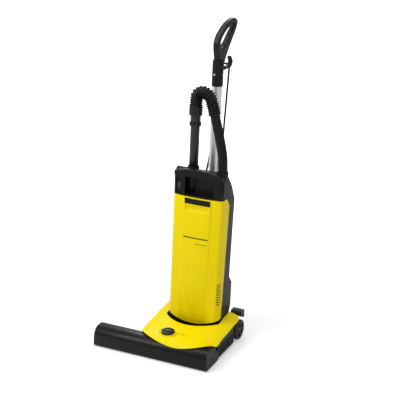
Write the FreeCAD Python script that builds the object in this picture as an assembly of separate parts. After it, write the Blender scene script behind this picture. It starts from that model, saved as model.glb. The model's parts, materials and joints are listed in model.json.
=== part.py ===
"""Commercial upright vacuum cleaner, in millimetres.

+X is to the right of someone who faces the machine, the brush head points to -Y and +Z is up.
The head is drawn with y = 0 near its front and z = 0 on the floor.  The upright part is drawn in its
own lines: x across, v rearwards and w up along the body, measured from the tilt axis, and lean() then
tips it back to its parked angle.  export() moves everything so that the origin is under the middle.
"""
import FreeCAD
import Part
import math
import os
from FreeCAD import Vector

os.makedirs("parts", exist_ok=True)

# ---- driving dimensions --------------------------------------------------------------------------
HEAD_WIDTH = 490.0
CENTRE_Y = 288.5           # middle of the machine's length, in the drawing lines of the head
LEAN = 5.58                 # degrees that the parked body leans back
PIVOT_Y = 230.0             # tilt axis of the body
PIVOT_Z = 60.0
BODY_X = 82.0               # middle plane of the head's arms, the tilt frame and the handle
SHELL_X = 86.0              # middle plane of the body's outer shells
BODY_HALF = 105.0
WALL = 3.0
GAP = 0.5                   # clearance between parts that move past each other
FIT = 0.05                  # radial running clearance of a shaft in its bore

BRUSH_Y, BRUSH_Z = 38.0, 32.0
BRUSH_R, BRISTLE_R = 17.0, 31.0
BRUSH_HALF = 228.0
MOTOR_Y, MOTOR_Z = 126.0, 42.0
MOTOR_R = 24.0
BELT_X, BELT_WIDTH = 229.0, 9.0
BRUSH_PULLEY_R, MOTOR_PULLEY_R = 16.0, 8.0

WHEEL_R, WHEEL_WIDTH = 40.0, 24.0
WHEEL_Y = 300.0
WHEEL_XS = (BODY_X - 151.0, BODY_X + 151.0)
ROLLER_R = 11.0
ROLLER_Y = 109.0
CARRIAGE_Y, CARRIAGE_Z = 134.0, 22.0
DIAL_X, DIAL_Y, DIAL_Z = 41.0, 74.0, 91.0
DIAL_R = 26.0

TUBE_V, TUBE_R = 102.0, 19.0
SEAM_W = 537.0              # where the yellow door ends and the black top begins
WAND_X, WAND_V, WAND_R = 44.0, 2.0, 18.0
HOSE_X, HOSE_V, HOSE_R = 158.0, 2.0, 18.5
BEND_R = 24.0               # the ribbed bend of the hose
CORD_R = 4.0


# ---- helpers -------------------------------------------------------------------------------------
def box(x0, x1, y0, y1, z0, z1):
    return Part.makeBox(x1 - x0, y1 - y0, z1 - z0, Vector(x0, y0, z0))


def cyl(centre, radius, length, axis=(1, 0, 0)):
    """Cylinder that starts at centre and runs along axis."""
    return Part.makeCylinder(radius, length, Vector(*centre), Vector(*axis))


def ring(centre, outer, inner, length, axis=(1, 0, 0)):
    return cyl(centre, outer, length, axis).cut(cyl(centre, inner, length, axis))


def outline(points):
    """Closed wire through 2D points. A point of three values starts an arc: its third value is the
    bulge, the arc's rise as a share of the chord, positive to the left of travel."""
    edges = []
    for here, there in zip(points, points[1:] + points[:1]):
        a, b = Vector(here[0], here[1], 0), Vector(there[0], there[1], 0)
        if len(here) == 3:
            chord = b - a
            middle = (a + b) * 0.5 + Vector(-chord.y, chord.x, 0) * here[2]
            edges.append(Part.Arc(a, middle, b).toShape())
        else:
            edges.append(Part.makeLine(a, b))
    return Part.Wire(edges)


def prism_z(points, z0, z1):
    """Solid with a plan outline of (x, y) points."""
    face = Part.Face(outline(points))
    face.translate(Vector(0, 0, z0))
    return face.extrude(Vector(0, 0, z1 - z0))


def prism_x(points, x0, x1, inset=0.0):
    """Solid with a side outline of (y, z) points, between two x planes."""
    wire = outline(points)
    if inset:
        wire = wire.makeOffset2D(-inset)
    face = Part.Face(wire)
    face.rotate(Vector(0, 0, 0), Vector(1, 1, 1), 120)
    face.translate(Vector(x0, 0, 0))
    return face.extrude(Vector(x1 - x0, 0, 0))


def rounded(shape, radius, wanted):
    """Fillets the edges for which wanted(edge) is true."""
    edges = [e for e in shape.Edges if wanted(e)]
    return shape.makeFillet(radius, edges)


def fuse(shapes):
    return shapes[0].multiFuse(shapes[1:]).removeSplitter()


def group(shapes):
    return Part.makeCompound(shapes)


def along(edge_axis):
    """Test for straight edges that run along an axis."""
    def wanted(edge):
        if not isinstance(edge.Curve, (Part.Line, Part.LineSegment)):
            return False
        return abs(edge.Curve.Direction.dot(Vector(*edge_axis))) > 0.999
    return wanted


def lean(shape):
    """From the body's own lines to the parked machine."""
    placed = shape.copy()
    placed.rotate(Vector(0, 0, 0), Vector(1, 0, 0), -LEAN)
    placed.translate(Vector(0, PIVOT_Y, PIVOT_Z))
    return placed


def export(name, shape):
    placed = shape.copy()
    placed.translate(Vector(0, -CENTRE_Y, 0))
    placed.exportStep(f"parts/{name}.step")


def bent_tube(points, radius, tight=None):
    """Round bar along straight runs joined by tangent arcs.  A bend's radius is 0.45 of the shorter
    run over the tangent of half the turn, unless tight gives it for that point."""
    pts = [Vector(*p) for p in points]
    edges, start, radii = [], pts[0], []
    for i in range(1, len(pts) - 1):
        before, after = pts[i - 1] - pts[i], pts[i + 1] - pts[i]
        turn = math.pi - before.getAngle(after)
        short = min(before.Length, after.Length)
        bend = (tight or {}).get(i, 0.45 * short / math.tan(turn / 2))
        reach = bend * math.tan(turn / 2)
        before.normalize()
        after.normalize()
        a, b = pts[i] + before * reach, pts[i] + after * reach
        inward = before + after
        inward.normalize()
        middle = pts[i] + inward * (bend / math.cos(turn / 2) - bend)
        edges.append(Part.LineSegment(start, a).toShape())
        edges.append(Part.Arc(a, middle, b).toShape())
        start = b
        radii.append(round(bend, 1))
    edges.append(Part.LineSegment(start, pts[-1]).toShape())
    path = Part.Wire(edges)
    section = Part.Wire(Part.Circle(pts[0], pts[1] - pts[0], radius).toShape())
    tube = path.makePipeShell([section], True, False)
    share = tube.Volume / (math.pi * radius ** 2 * path.Length)
    print(f"tube of {path.Length:.0f} mm, volume share {share:.3f}, radii {radii}")
    return tube


# ---- head: hood, deck and chassis ----------------------------------------------------------------
HOOD = [(-7, 6, 0.04), (-4, 44, 0.2), (30, 77, 0.03), (60, 75.5, 0.05), (95, 34), (97, 6)]
HOOD_END = HEAD_WIDTH / 2 - 6
ARM_OUT, ARM_IN, ARM_REAR = 158.0, 115.0, 136.0     # chassis arm faces, from the middle plane
ARM_STEP_Y, ARM_END_Y, TAIL_Y = 246.0, 335.0, 306.5
WELL_Y, WELL_BULGE = 205.0, 0.265
TRUNNION_R, BUSH_R = 18.0, 22.0


def plan(grow=0.0):
    """Plan outline of the chassis: a U that is open at the back, where the body swings down."""
    out, rear, inner = ARM_OUT + grow, ARM_REAR + grow, ARM_IN - grow
    right = [(out, 98 - grow), (out, ARM_STEP_Y), (rear, ARM_STEP_Y), (rear, ARM_END_Y),
             (inner, ARM_END_Y), (inner, WELL_Y)]
    points = [(BODY_X + x, y) for x, y in right] + [(BODY_X - x, y) for x, y in reversed(right)]
    points[5] += (WELL_BULGE,)
    return points


def deck_height(x, y):
    """Top of the deck: a ramp from the hood up to the body, crowned towards its two side edges."""
    knots = [(-12, 50), (-3, 61), (6, 73), (13, 80), (22, 84), (36, 86), (60, 87.5), (91, 90.5),
             (120, 95), (150, 99), (200, 102), (245, 107), (298, 112), (350, 112)]
    for (y0, z0), (y1, z1) in zip(knots, knots[1:]):
        if y <= y1:
            break
    ridge = z0 + (z1 - z0) * (y - y0) / (y1 - y0)
    fade = min(max((y - 48) / 38, 0), 1)
    return ridge - 23 * fade * abs((x - BODY_X) / 162) ** 4


def deck_slab(low, high):
    """Solid between the deck's top surface moved by low and by high."""
    xs = [BODY_X + 172 * i / 6 for i in range(-6, 7)]
    ys = [-12, -3, 6, 13, 22, 36, 60, 91, 120, 150, 200, 245, 298, 350]
    rows = [[Vector(x, y, deck_height(x, y) + low) for y in ys] for x in xs]
    surface = Part.BSplineSurface()
    surface.interpolate(rows)
    return surface.toShape().extrude(Vector(0, 0, high - low))


def spline_prism(front, rest, z0, z1):
    """Prism whose front edge is a spline through the front points and whose rest is straight."""
    curve = Part.BSplineCurve()
    curve.interpolate([Vector(x, y, z0) for x, y in front])
    ends = [front[-1]] + rest + [front[0]]
    lines = [Part.makeLine(Vector(a[0], a[1], z0), Vector(b[0], b[1], z0))
             for a, b in zip(ends, ends[1:])]
    return Part.Face(Part.Wire([curve.toShape()] + lines)).extrude(Vector(0, 0, z1 - z0))


def hood():
    shell = prism_x(HOOD, -HOOD_END, HOOD_END)
    shell = shell.cut(prism_x(HOOD, -HEAD_WIDTH, HEAD_WIDTH, inset=WALL))
    shell = shell.cut(box(-HEAD_WIDTH, HEAD_WIDTH, -7, 93, -1, 12))
    shell = shell.cut(box(BELT_X - 7, HOOD_END, 77, 100, 16, 62))
    return shell.cut(box(-68, 18, 80, 100, 13, 42))


def end_cap(side):
    cap = prism_x(HOOD, HOOD_END, HEAD_WIDTH / 2)
    cap = fuse([cap, prism_x(HOOD, HEAD_WIDTH / 2 - 0.5, HEAD_WIDTH / 2, inset=1.0)])
    cap = fuse([cap, cyl((HOOD_END - 3, BRUSH_Y, BRUSH_Z), 11, 4)])
    cap = cap.cut(cyl((HOOD_END - 4, BRUSH_Y, BRUSH_Z), 5 + FIT, 7))
    return cap if side > 0 else cap.mirror(Vector(0, 0, 0), Vector(1, 0, 0))


def deck():
    front = [(-80, 80), (-33, 33), (8, 16), (42, 8.5), (75, 5), (110, 4.5), (145, 8), (180, 17),
             (212, 36), (243, 78)]
    rest = [(243, 290), (234, 306), (BODY_X - 152, 306), (-80, 290)]
    sheet = spline_prism(front, rest, 40, 130).common(deck_slab(-WALL, 0))
    slot = [(BODY_X + 113, 400), (BODY_X + 113, WELL_Y, WELL_BULGE), (BODY_X - 113, WELL_Y),
            (BODY_X - 113, 400)]
    sheet = sheet.cut(prism_z(slot, 0, 150))
    return sheet.cut(cyl((DIAL_X, DIAL_Y, 60), DIAL_R + GAP, 60, (0, 0, 1)))


def chassis():
    body = prism_z(plan(), 8, 130)
    face = Part.Face(outline(plan()).makeOffset2D(-WALL))
    face.translate(Vector(0, 0, 8 + WALL))
    body = body.cut(face.extrude(Vector(0, 0, 130)))
    body = body.cut(deck_slab(-WALL - 0.05, 95))
    body = body.cut(box(-100, 260, TAIL_Y, 400, 60, 200))
    for side, x in ((1, BODY_X + ARM_REAR), (-1, BODY_X - ARM_REAR)):
        near, far = sorted((BODY_X + side * ARM_IN, BODY_X + side * ARM_REAR))
        tail = [(TAIL_Y, 20), (ARM_END_Y, 20), (ARM_END_Y, 66), (322, 82), (TAIL_Y + 4, 103), (TAIL_Y, 103)]
        body = fuse([body, prism_x(tail, near, far)])
        body = fuse([body, cyl((x, WHEEL_Y, WHEEL_R), 10, 14, (-side, 0, 0))])
        body = body.cut(cyl((x, WHEEL_Y, WHEEL_R), 5, 20, (-side, 0, 0)))
        inner = BODY_X + side * (ARM_IN - 1)
        body = body.cut(cyl((inner, PIVOT_Y, PIVOT_Z), BUSH_R, 10, (side, 0, 0)))
    body = body.cut(box(30, 142, ROLLER_Y - 18, CARRIAGE_Y + 5, 0, 30))
    body = body.cut(box(-68, 18, 90, 104, 13, 45.5))
    body = body.cut(box(34, 50, 90, 104, 60, 90))
    body = body.cut(box(BELT_X - 7, BODY_X + ARM_OUT - WALL, 90, 104, 16, 62))
    body = body.cut(group([box(200.5, 215.5, 309.5, 340, 73, 120), cyl((197.6, 315, 79), 2.5, 20)]))
    for x in range(246 - 135, 246, 9):
        body = body.cut(box(BODY_X + ARM_OUT - 1, BODY_X + ARM_OUT + 1, x, x + 4, 14, 52))
    return body


def sole_plate():
    plate = fuse([box(-238, 238, -5, 96, 3.5, 5.5), box(-72, 236, 90, 142, 3.5, 5.5),
                  box(-72, -36, 142, 240, 3.5, 5.5), box(200, 236, 142, 240, 3.5, 5.5)])
    plate = plate.cut(box(-230, 238 - 6, 4, 74, 0, 8))
    return plate.cut(box(30, 142, ROLLER_Y - 16, CARRIAGE_Y + 4, 0, 8))


def side_cover():
    """Ribbed wall piece that closes the belt side of the head under the deck's edge."""
    x0 = BODY_X + ARM_OUT + 0.2
    cover = box(x0, x0 + 2.2, 99, ARM_STEP_Y - 1, 9, 130).cut(deck_slab(-WALL - 0.5, 70))
    ribs = [box(x0 + 2.2, x0 + 4.2, y, y + 3, 12, 54) for y in range(112, 240, 12)]
    return fuse([cover] + ribs)


# ---- head: brush, belt and motor -----------------------------------------------------------------
def brush_core():
    shaft = cyl((-HOOD_END + 1, BRUSH_Y, BRUSH_Z), 5, 2 * HOOD_END - 2)
    return fuse([cyl((-BRUSH_HALF, BRUSH_Y, BRUSH_Z), BRUSH_R, 2 * BRUSH_HALF - 6), shaft])


def brush_bristles():
    """Two spiral rows of tufts set in drilled holes of the core."""
    tufts = []
    count = 27
    for row in (0, 180):
        for i in range(count):
            turn = math.radians(row + 300 * i / (count - 1))
            out = Vector(0, math.sin(turn), math.cos(turn))
            x = -BRUSH_HALF + 8 + (2 * BRUSH_HALF - 20) * i / (count - 1)
            foot = Vector(x, BRUSH_Y, BRUSH_Z) + out * (BRUSH_R - 3)
            tufts.append(Part.makeCone(2.6, 4.0, BRISTLE_R - BRUSH_R + 3, foot, out))
    return group(tufts)


def pulley(y, z, radius, bore, flange):
    """Belt pulley with a flange on each side of the belt's track."""
    track = cyl((BELT_X - BELT_WIDTH / 2 - 0.5, y, z), radius, BELT_WIDTH + 1)
    rims = [cyl((x, y, z), radius + flange, 1) for x in (BELT_X - 6, BELT_X + 5)]
    return fuse([track] + rims).cut(cyl((BELT_X - 8, y, z), bore, 16))


def drive_belt():
    def loop(extra):
        r1, r2 = BRUSH_PULLEY_R + extra, MOTOR_PULLEY_R + extra
        dy, dz = MOTOR_Y - BRUSH_Y, MOTOR_Z - BRUSH_Z
        line = math.atan2(dz, dy)
        half = math.acos((r1 - r2) / math.hypot(dy, dz))
        corners = []
        for turn in (line + half, line - half):
            away = Vector(0, math.cos(turn), math.sin(turn))
            corners.append((Vector(0, BRUSH_Y, BRUSH_Z) + away * r1,
                            Vector(0, MOTOR_Y, MOTOR_Z) + away * r2))
        wire = Part.makePolygon([corners[0][0], corners[0][1], corners[1][1], corners[1][0],
                                 corners[0][0]])
        flat = Part.Face(wire).extrude(Vector(BELT_WIDTH, 0, 0))
        return fuse([flat, cyl((0, BRUSH_Y, BRUSH_Z), r1, BELT_WIDTH),
                     cyl((0, MOTOR_Y, MOTOR_Z), r2, BELT_WIDTH)])
    belt = loop(2.4).cut(loop(0.4))
    belt.translate(Vector(BELT_X - BELT_WIDTH / 2, 0, 0))
    return belt


def brush_motor_case():
    case = ring((146, MOTOR_Y, MOTOR_Z), MOTOR_R, MOTOR_R - 3, 76)
    plates = [ring((x, MOTOR_Y, MOTOR_Z), MOTOR_R, 4 + FIT, 3) for x in (146, 219)]
    foot = box(160, 206, MOTOR_Y - 12, MOTOR_Y + 12, 8 + WALL, MOTOR_Z - MOTOR_R + 2)
    return fuse([case, foot] + plates)


def brush_motor_rotor():
    shaft = cyl((144, MOTOR_Y, MOTOR_Z), 4, BELT_X + 6 - 144)
    stack = cyl((158, MOTOR_Y, MOTOR_Z), 16, 40)
    commutator = cyl((202, MOTOR_Y, MOTOR_Z), 9, 12)
    return fuse([shaft, stack, commutator])


def suction_duct():
    """Air duct from the brush tunnel round the left side to the hollow left tilt bearing."""
    inlet = box(-67, 17, 98.5, 130, 13.5, 45).cut(box(-64, 14, 90, 127, 16.5, 42))
    arm = fuse([box(-71, -38, 110, 241, 13.5, 60), box(-62, -38, 206, 241, 13.5, 80)])
    arm = arm.cut(fuse([box(-68, -41, 113, 238, 16.5, 57), box(-59, -41, 209, 238, 16.5, 77)]))
    duct = fuse([inlet, arm])
    duct = duct.cut(box(-60, 0, 113, 126.9, 16.5, 42))
    return duct.cut(cyl((-50, PIVOT_Y, PIVOT_Z), TRUNNION_R - WALL, 30))


# ---- head: wheels, rollers, height dial and release pedal ------------------------------------------
def wheel_hub(x):
    hub = cyl((x - WHEEL_WIDTH / 2, WHEEL_Y, WHEEL_R), WHEEL_R - 6.5, WHEEL_WIDTH)
    outer = x + WHEEL_WIDTH / 2 if x > BODY_X else x - WHEEL_WIDTH / 2
    inward = (-1 if x > BODY_X else 1, 0, 0)
    hub = hub.cut(ring((outer, WHEEL_Y, WHEEL_R), WHEEL_R - 11, 11, 5, inward))
    spokes = [box(outer + min(0, 5 * inward[0]), outer + max(0, 5 * inward[0]), WHEEL_Y + 10,
                  WHEEL_Y + WHEEL_R - 10, WHEEL_R - 2.5, WHEEL_R + 2.5) for _ in range(5)]
    for i, spoke in enumerate(spokes):
        spoke.rotate(Vector(x, WHEEL_Y, WHEEL_R), Vector(1, 0, 0), 72 * i)
    hub = fuse([hub] + spokes)
    return hub.cut(cyl((x - WHEEL_WIDTH, WHEEL_Y, WHEEL_R), 5 + FIT, 2 * WHEEL_WIDTH))


def tyre(x):
    band = ring((x - WHEEL_WIDTH / 2, WHEEL_Y, WHEEL_R), WHEEL_R, WHEEL_R - 6.5, WHEEL_WIDTH)
    rim = rounded(band, 3.0, lambda e: isinstance(e.Curve, Part.Circle)
                  and e.Curve.Radius > WHEEL_R - 1)
    return rim


def axle_pin(side):
    """Stub axle pressed into the chassis arm, with a head that keeps the wheel on."""
    start = BODY_X + side * (ARM_REAR - 14)
    pin = cyl((start, WHEEL_Y, WHEEL_R), 5, 14 + 3 + WHEEL_WIDTH - 4, (side, 0, 0))
    return pin


def roller_carriage():
    """Rocking bridge that carries the front rollers and the finger that the dial's cam pushes."""
    arms = [box(x, x + 5, ROLLER_Y - 7, CARRIAGE_Y + 4, 14, 25) for x in (33, 65, 99.5, 131)]
    bridge = box(33, 136, CARRIAGE_Y - 4, CARRIAGE_Y + 4, 18, 25)
    finger = box(38, 46, CARRIAGE_Y - 4, CARRIAGE_Y, 22, 70)
    reach = box(38, 46, 87.5, CARRIAGE_Y, 66, 70)
    tip = box(38, 46, 87.5, 91.5, 66, 80)
    body = fuse(arms + [bridge, finger, reach, tip])
    body = body.cut(cyl((30, CARRIAGE_Y, CARRIAGE_Z), 2.5 + FIT, 112))
    return body.cut(cyl((30, ROLLER_Y, ROLLER_R + 4), 2.5 + FIT, 112))


def front_rollers():
    axle = cyl((33.5, ROLLER_Y, ROLLER_R), 2.5, 102)
    rolls = [cyl((x, ROLLER_Y, ROLLER_R), ROLLER_R, 24) for x in (39, 106)]
    return fuse([axle] + rolls)


def height_dial():
    knob = cyl((DIAL_X, DIAL_Y, DIAL_Z - 1.8), DIAL_R, 6.8, (0, 0, 1))
    knob = rounded(knob, 2.0, lambda e: e.BoundBox.ZMin > DIAL_Z + 4)
    knob = knob.cut(ring((DIAL_X, DIAL_Y, DIAL_Z + 3.5), DIAL_R - 5, DIAL_R - 12, 5, (0, 0, 1)))
    bar = box(DIAL_X - 21, DIAL_X + 21, DIAL_Y - 5, DIAL_Y + 5, DIAL_Z + 2, DIAL_Z + 7)
    bar = rounded(bar, 3.0, along((0, 0, 1)))
    stem = cyl((DIAL_X, DIAL_Y, DIAL_Z - 14), 6, 12, (0, 0, 1))
    cam = cyl((DIAL_X, DIAL_Y - 4, DIAL_Z - 14), 14, 5, (0, 0, 1))
    return fuse([knob, bar, stem, cam])


def dial_bezel():
    disc = ring((DIAL_X, DIAL_Y, 60), DIAL_R + 5.5, DIAL_R + 1, 60, (0, 0, 1))
    return disc.common(deck_slab(0.0, 2.0))


def release_pedal():
    pad = prism_x([(321, 90), (336, 87), (342, 75), (352, 75), (352, 107), (321, 107)], 194, 240)
    pad = rounded(pad, 5.0, lambda e: e.BoundBox.YMin > 351 and e.BoundBox.XLength > 40)
    pad = pad.cut(prism_x([(315, 109), (331, 109), (318, 101), (315, 101)], 180, 250))
    grooves = [box(199, 235, y, y + 2, 106, 109) for y in range(334, 347, 5)]
    arm = prism_x([(311, 75.5), (321, 75.5), (326, 86), (340, 86), (340, 92), (311, 92)], 201, 215)
    pedal = fuse([pad, arm]).cut(group(grooves))
    return pedal.cut(cyl((190, 315, 79), 2.5 + FIT, 40))


def pedal_spring():
    """Torsion spring round the pedal's pin, as its two coils and its legs."""
    coil = ring((192.5, 315, 79), 5, 3.2, 4)
    return fuse([coil, box(192.5, 194, 317, 334, 81, 82.5)])


# ---- body: shells, in the body's own lines ---------------------------------------------------------
def x_(offset):
    return BODY_X + offset


def s_(offset):
    return SHELL_X + offset


def seam_v(w):
    """Where the slanted side seam between the door and the rear housing lies at height w."""
    return 28.0 * (min(w, 490) - 75) / 415


def front_section(grow, rear=30.0):
    """Plan section of the shells: a flat crowned front, two angled strips and rounded corners."""
    side, strip, middle = BODY_HALF + grow, 92 + grow, 60
    return [(s_(-side), rear), (s_(-side), -29, -0.12), (s_(-strip), -40 - grow),
            (s_(-middle), -46.5 - grow, -0.025), (s_(middle), -46.5 - grow),
            (s_(strip), -40 - grow, -0.12), (s_(side), -29), (s_(side), rear)]


def front_view_prism(points, v0, v1):
    """Prism with an outline of (x, w) points seen from the front."""
    face = Part.Face(outline(points))
    face.rotate(Vector(0, 0, 0), Vector(1, 0, 0), 90)
    face.translate(Vector(0, v1, 0))
    return face.extrude(Vector(0, v0 - v1, 0))


DOOR_FOOT_W = 24.0
HINGE_V, HINGE_W = -38.0, 28.0      # axis that the door swings on


def bag_door():
    low, high = DOOR_FOOT_W, SEAM_W - 1.2
    shell = prism_z(front_section(0), low, high).cut(prism_z(front_section(-WALL), low + 4, high - 4))
    inside = BODY_HALF - WALL
    shell = shell.cut(group([box(s_(-inside), s_(inside), -28, 40, low - 1, high - 3),
                             box(x_(-100), x_(100), -36, -20, low - 1, 48)]))
    behind = prism_x([(seam_v(low), low), (seam_v(490), 490), (seam_v(490), 600), (90, 600), (90, low)],
                     s_(-120), s_(120))
    panel = [(s_(-60), high), (s_(-60), 200), (s_(-46), 130, -0.15), (s_(-17), 104), (s_(17), 104, -0.15),
             (s_(46), 130), (s_(60), 200), (s_(60), high)]
    front = [(s_(-60), -40), (s_(-60), -48, -0.025), (s_(60), -48), (s_(60), -40)]
    raised = front_view_prism(panel, -60, -40).common(prism_z(front, low, high))
    rim = [(s_(-60), 300), (s_(-81), 236), (s_(-62), 122, 0.1), (s_(-22), 90), (s_(22), 90, 0.1),
           (s_(62), 122), (s_(81), 236), (s_(60), 300)]
    rim = front_view_prism(rim, -60, -30).common(prism_z(front_section(0.8), low, high))
    rim = rim.cut(prism_z(front_section(-1), low, high))
    tray = box(s_(-53), s_(62), -44, -37, 504, 534)
    knuckles = [ring((x_(x), HINGE_V, HINGE_W), 4.2, 2 + FIT, 18, (1, 0, 0)) for x in (-48, 30)]
    shell = fuse([shell, raised, rim, tray])
    shell = shell.cut(group([box(x_(x), x_(x) + 14, -43.6, -20, low - 1, 35) for x in (-63, 49)]
                            + [cyl((x_(-50), HINGE_V, HINGE_W), 4, 100)]))
    shell = fuse([shell] + knuckles)
    corner = prism_x([(2, SEAM_W + 2), (30, 503), (30, SEAM_W + 2)], s_(-120), s_(120))
    recess = box(s_(-50), s_(59), -60, -40, 507, 531)
    scoop = cyl((s_(-46), -63, 492), 18, 100)
    bowed_foot = front_view_prism([(s_(-130), 48), (s_(-105), 48, -0.11), (s_(105), 48), (s_(130), 48),
                                   (s_(130), 0), (s_(-130), 0)], -80, 40)
    shell = shell.cut(group([behind, corner, recess, scoop, bowed_foot]))
    slots = []
    for side in (1, -1):
        for i in range(9):
            x0 = s_(side * (BODY_HALF + 2))
            w = 112 + 10 * i
            slot = prism_x([(-25, w), (-25, w + 4.5), (-9, w + 9), (-9, w + 4.5)],
                           min(x0, x0 - side * 8), max(x0, x0 - side * 8))
            slots.append(slot)
    return shell.cut(group(slots))


def door_seal():
    """Foam strip that closes the door on the bag chamber."""
    outer = front_view_prism([(x_(-96), 206), (x_(96), 206), (x_(96), 519), (x_(-96), 519)], 3.8, 7)
    inner = front_view_prism([(x_(-91), 211), (x_(91), 211), (x_(91), 514), (x_(-91), 514)], 0, 10)
    return outer.cut(inner)


def door_latch():
    paddle = box(s_(-49), s_(58), -47, -42.5, 509, 529)
    paddle = rounded(paddle, 1.5, lambda e: e.BoundBox.YMax < -46.9)
    return paddle


def rear_side():
    """Side outline of the rear housing, from the seam behind the door to the swelling of the back."""
    return [(seam_v(40) + GAP, 40), (74, 40), (91, 76), (92, 174), (66, 204), (80, 520), (66, 548),
            (seam_v(490) + GAP, 600), (seam_v(490) + GAP, 490)]


def rear_housing():
    side = rear_side()
    shell = prism_x(side, s_(-BODY_HALF), s_(BODY_HALF))
    shell = rounded(shell, 7.0, lambda e: e.BoundBox.YMin > 60 and e.BoundBox.XLength < 1)
    inside = BODY_HALF - WALL
    shell = shell.cut(prism_x(side, s_(-inside), s_(inside), inset=WALL))
    cavity = [(-10, 38), (8, 38), (8, 44), (16, 44), (45, 490), (45, 555), (20, 620), (-10, 620)]
    shell = shell.cut(prism_x(cavity, s_(-inside), s_(inside)))
    vents = [box(s_(x), s_(x) + 4, 60, 100, 92, 160) for x in range(-60, 61, 12)]
    return shell.cut(group(vents))


def lower_frame():
    """Moulded foot of the body: it carries the motor, the door hinge and the two tilt trunnions."""
    side = [(-26, 44), (-34, 10), (-34, -28, -0.12), (34, -28), (50, 12), (50, 39.5), (7.5, 39.5),
            (7.5, 190), (4.5, 190), (4.5, 44)]
    solid = prism_x(side, x_(-97), x_(97))
    hollow = box(x_(-93), x_(93), -30, 40, -20, 35)
    frame = solid.cut(hollow)
    frame = frame.cut(cyl((BODY_X, 2, 50), 41, 160, (0, 0, 1)))
    frame = frame.cut(box(x_(-48), x_(48), 0, 10, 50, 185))
    trunnions = [cyl((x_(side * 92), 0, 0), TRUNNION_R, 27, (side, 0, 0)) for side in (1, -1)]
    lugs = [box(x_(x), x_(x) + 12, HINGE_V - 2, -28, HINGE_W - 3, HINGE_W + 3) for x in (-62, 50)]
    rod = cyl((x_(-62), HINGE_V, HINGE_W), 2, 124)
    frame = fuse([frame, rod] + trunnions + lugs)
    bore = cyl((x_(-125), 0, 0), TRUNNION_R - WALL, 35)
    return frame.cut(bore)


def tilt_bushes():
    bushes = []
    for side in (1, -1):
        start = x_(side * 113)
        bushes.append(ring((start, PIVOT_Y, PIVOT_Z), BUSH_R, TRUNNION_R + FIT, 6, (side, 0, 0)))
    return group(bushes)


def top_section():
    """Black head of the body: pocket for the carrying hand, switch recess and the wand's socket."""
    rear = seam_v(490)
    side = [(-50, SEAM_W), (-50, 612), (-21, 612), (-19, 634), (-6, 639), (rear, 598), (rear, 509),
            (5.5, SEAM_W)]
    section = prism_z(front_section(0, 40), 490, 660)
    block = prism_x(side, s_(-BODY_HALF), s_(BODY_HALF)).common(section)
    hollow = [(-43, SEAM_W - 1), (-43, 609), (-18, 609), (-16, 630), (-7, 634), (rear - 3, 594),
              (rear - 3, 500), (3, SEAM_W - 1)]
    inside = BODY_HALF - WALL
    within = prism_z(front_section(-WALL, 40), 490, 660)
    block = block.cut(prism_x(hollow, s_(-inside + 8), s_(inside - 8)).common(within))
    sides = [(-28, SEAM_W - 1), (-28, 609), (-7, 630), (rear - 3, 594), (rear - 3, 500), (3, 500)]
    block = block.cut(prism_x(sides, s_(-inside), s_(inside)).common(within))
    block = fuse([block, box(s_(-55), s_(72), -44, -9, SEAM_W, 612),
                  box(s_(-98), s_(-59), -47, -33, SEAM_W, 607).common(section)])
    block = block.cut(box(s_(-52), s_(69), -60, -12, 543, 660))
    block = block.cut(box(s_(-93), s_(-62), -60, -36, 543, 604))
    block = block.cut(group([box(s_(-86), s_(-70), -37, -30, 560, 588),
                             cyl((s_(-88.2), -34.5, 574), 1.2 + FIT, 20.4)]))
    block = block.cut(box(s_(-inside), s_(inside), -12, 40, 490, SEAM_W))
    block = block.cut(cyl((WAND_X, WAND_V, 555), 23, 90, (0, 0, 1)))
    return block.cut(cyl((HOSE_X + 10, HOSE_V, 588), 22, 60, (0, 0, 1)))


def carry_handle():
    half = BODY_HALF - 2
    view = [(s_(-half), 612), (s_(half), 612), (s_(half), 630, -0.07), (s_(-half), 630)]
    bar = front_view_prism(view, -47, -22)
    bar = rounded(bar, 11.0, lambda e: e.BoundBox.YMax < -46 and e.BoundBox.XLength < 0.1)
    bar = bar.cut(box(s_(-52), s_(69), -60, 0, 600, 613))
    return rounded(bar, 4.0, lambda e: e.BoundBox.ZMin > 628 and e.BoundBox.XLength > 120)


def wand_holder():
    tube = ring((WAND_X, WAND_V, 560), 22.9, WAND_R + GAP, 86, (0, 0, 1))
    floor = cyl((WAND_X, WAND_V, 556), 22.9, 4, (0, 0, 1))
    return fuse([tube, floor])


def hose_port():
    return ring((HOSE_X + 10, HOSE_V, 590), 21.9, HOSE_R - 2, 52, (0, 0, 1))


def power_switch():
    """Rocker on a cross pin in the recess on the left of the top."""
    rocker = prism_x([(-42, 574), (-40, 586), (-32, 586), (-32, 562), (-39, 562)], s_(-85.5), s_(-70.5))
    return fuse([rocker, cyl((s_(-88), -34.5, 574), 1.2, 20)])


# ---- body: what it holds -----------------------------------------------------------------------------
def inner_partition():
    wall = box(x_(-97), x_(98.5), 10, 13, 200, 550)
    shelf = box(x_(-97), x_(98), -24, 10, 200, 204)
    wall = fuse([wall, shelf]).cut(cyl((BODY_X - 60, 5, 480), 21, 20, (0, 1, 0)))
    return wall.cut(box(x_(-26), x_(26), -20, 5, 190, 210))


def bag_inlet_duct():
    """Air duct from the left trunnion up behind the partition to the bag."""
    riser = box(x_(-94), x_(-46), 14, 42, 45, 508).cut(box(x_(-91), x_(-49), 17, 39, 40, 505))
    neck = ring((BODY_X - 60, -2, 480), 20, 17, 17, (0, 1, 0))
    riser = riser.cut(cyl((BODY_X - 60, 10, 480), 17, 10, (0, 1, 0)))
    return fuse([riser, neck])


def dust_bag():
    bag = box(x_(-86), x_(86), -36, -4, 222, 512)
    return rounded(bag, 13.0, lambda e: True)


def motor_filter():
    return box(x_(-24), x_(24), -18, 3, 196, 208)


def exhaust_filter():
    return box(x_(-80), x_(80), 48, 58, 86, 166)


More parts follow.
